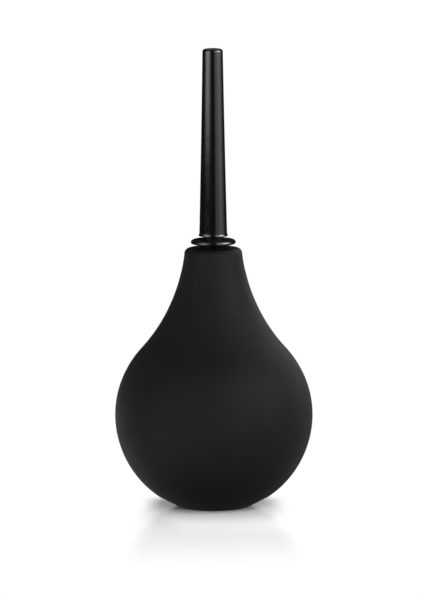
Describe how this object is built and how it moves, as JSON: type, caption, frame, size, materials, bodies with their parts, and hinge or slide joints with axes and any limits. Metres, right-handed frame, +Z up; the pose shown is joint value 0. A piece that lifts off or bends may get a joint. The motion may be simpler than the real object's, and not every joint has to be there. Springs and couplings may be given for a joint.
{
  "type": "dust blower bulb",
  "caption": "Pear-shaped rubber squeeze bulb with a pull-off tapered nozzle, an outlet check ball and a filtered intake valve in its base.",
  "frame": {"origin": "centre of the flat that the bulb stands on", "axes": "+Z up along the common axis of bulb, connector and nozzle; +X to the right seen from the front"},
  "size_m": [0.08, 0.08, 0.1866],
  "materials": {
    "bulb_rubber": "soft-touch matte black",
    "gloss_black_plastic": "moulded high gloss black",
    "valve_plastic": "moulded fine matte",
    "filter_steel": "woven wire",
    "silicone": "milky silicone",
    "ball_steel": "polished",
    "seal_rubber": "smooth nitrile"
  },
  "bodies": {
    "bulb_shell": {"bulb": "bulb_rubber"},
    "intake_valve": {"intake_valve_body": "valve_plastic", "intake_filter": "filter_steel", "intake_filter_ring": "valve_plastic", "intake_valve_cage": "valve_plastic"},
    "intake_disc": {"intake_flap_disc": "silicone"},
    "connector": {"neck_connector": "gloss_black_plastic", "outlet_valve_seat": "valve_plastic"},
    "outlet_ball": {"outlet_check_ball": "ball_steel"},
    "nozzle_seal": {"nozzle_o_ring": "seal_rubber"},
    "nozzle_tube": {"nozzle": "gloss_black_plastic"}
  },
  "joints": [
    {"name": "squeeze", "type": "slide", "parent": "bulb_shell", "child": "intake_valve", "axis": [0, 0, 1], "range_m": [0, 0.018], "stiffness_N_per_m": 600, "deforming": ["bulb"]},
    {"name": "intake_lift", "type": "slide", "parent": "intake_valve", "child": "intake_disc", "axis": [0, 0, 1], "range_m": [0, 0.001]},
    {"name": "connector_pull", "type": "slide", "parent": "bulb_shell", "child": "connector", "axis": [0, 0, 1], "range_m": [0, 0.02]},
    {"name": "outlet_lift", "type": "slide", "parent": "connector", "child": "outlet_ball", "axis": [0, 0, 1], "range_m": [0, 0.0015]},
    {"name": "nozzle_turn", "type": "hinge", "parent": "connector", "child": "nozzle_seal", "pos_m": [0, 0, 0.1172], "axis": [0, 0, 1], "continuous": true},
    {"name": "nozzle_pull", "type": "slide", "parent": "nozzle_seal", "child": "nozzle_tube", "axis": [0, 0, 1], "range_m": [0, 0.016]}
  ]
}
